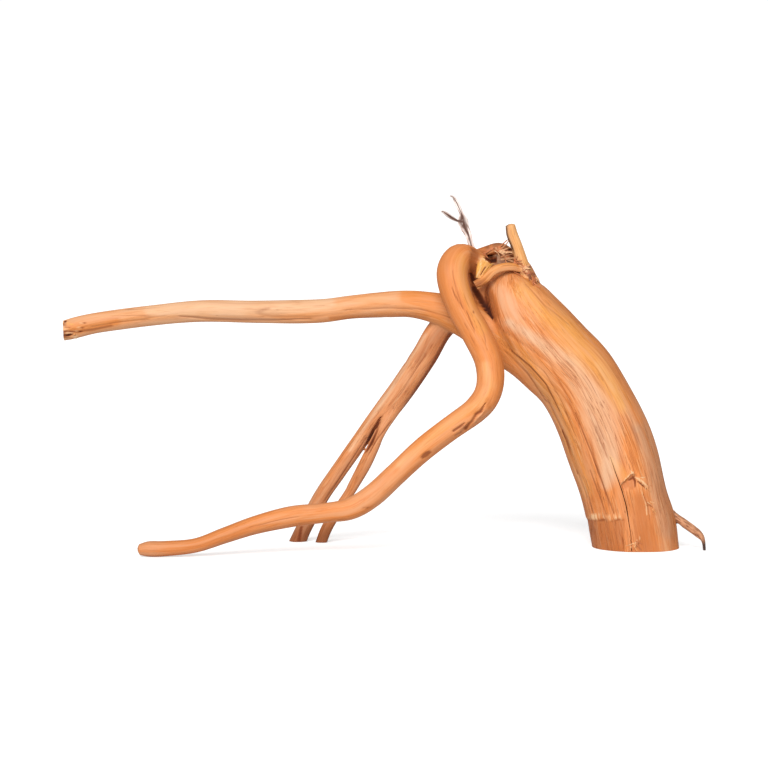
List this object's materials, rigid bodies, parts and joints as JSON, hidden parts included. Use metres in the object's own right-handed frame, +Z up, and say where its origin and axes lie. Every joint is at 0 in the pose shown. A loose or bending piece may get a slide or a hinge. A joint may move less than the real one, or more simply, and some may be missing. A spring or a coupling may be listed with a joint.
{
  "type": "bogwood root",
  "caption": "Bent bogwood root: thick trunk sawn flat at its foot, a long level branch, a hooked front root and two thin back legs.",
  "frame": {"origin": "middle of the trunk's sawn foot, on the surface it stands on", "axes": "+Z up, the level branch runs towards -X, the hooked front root is on the -Y side"},
  "size_m": [0.4034, 0.0843, 0.2194],
  "materials": {
    "peeled_wood": "peeled, dry, half matt"
  },
  "bodies": {
    "root": {"bogwood_root": "peeled_wood"}
  },
  "joints": []
}
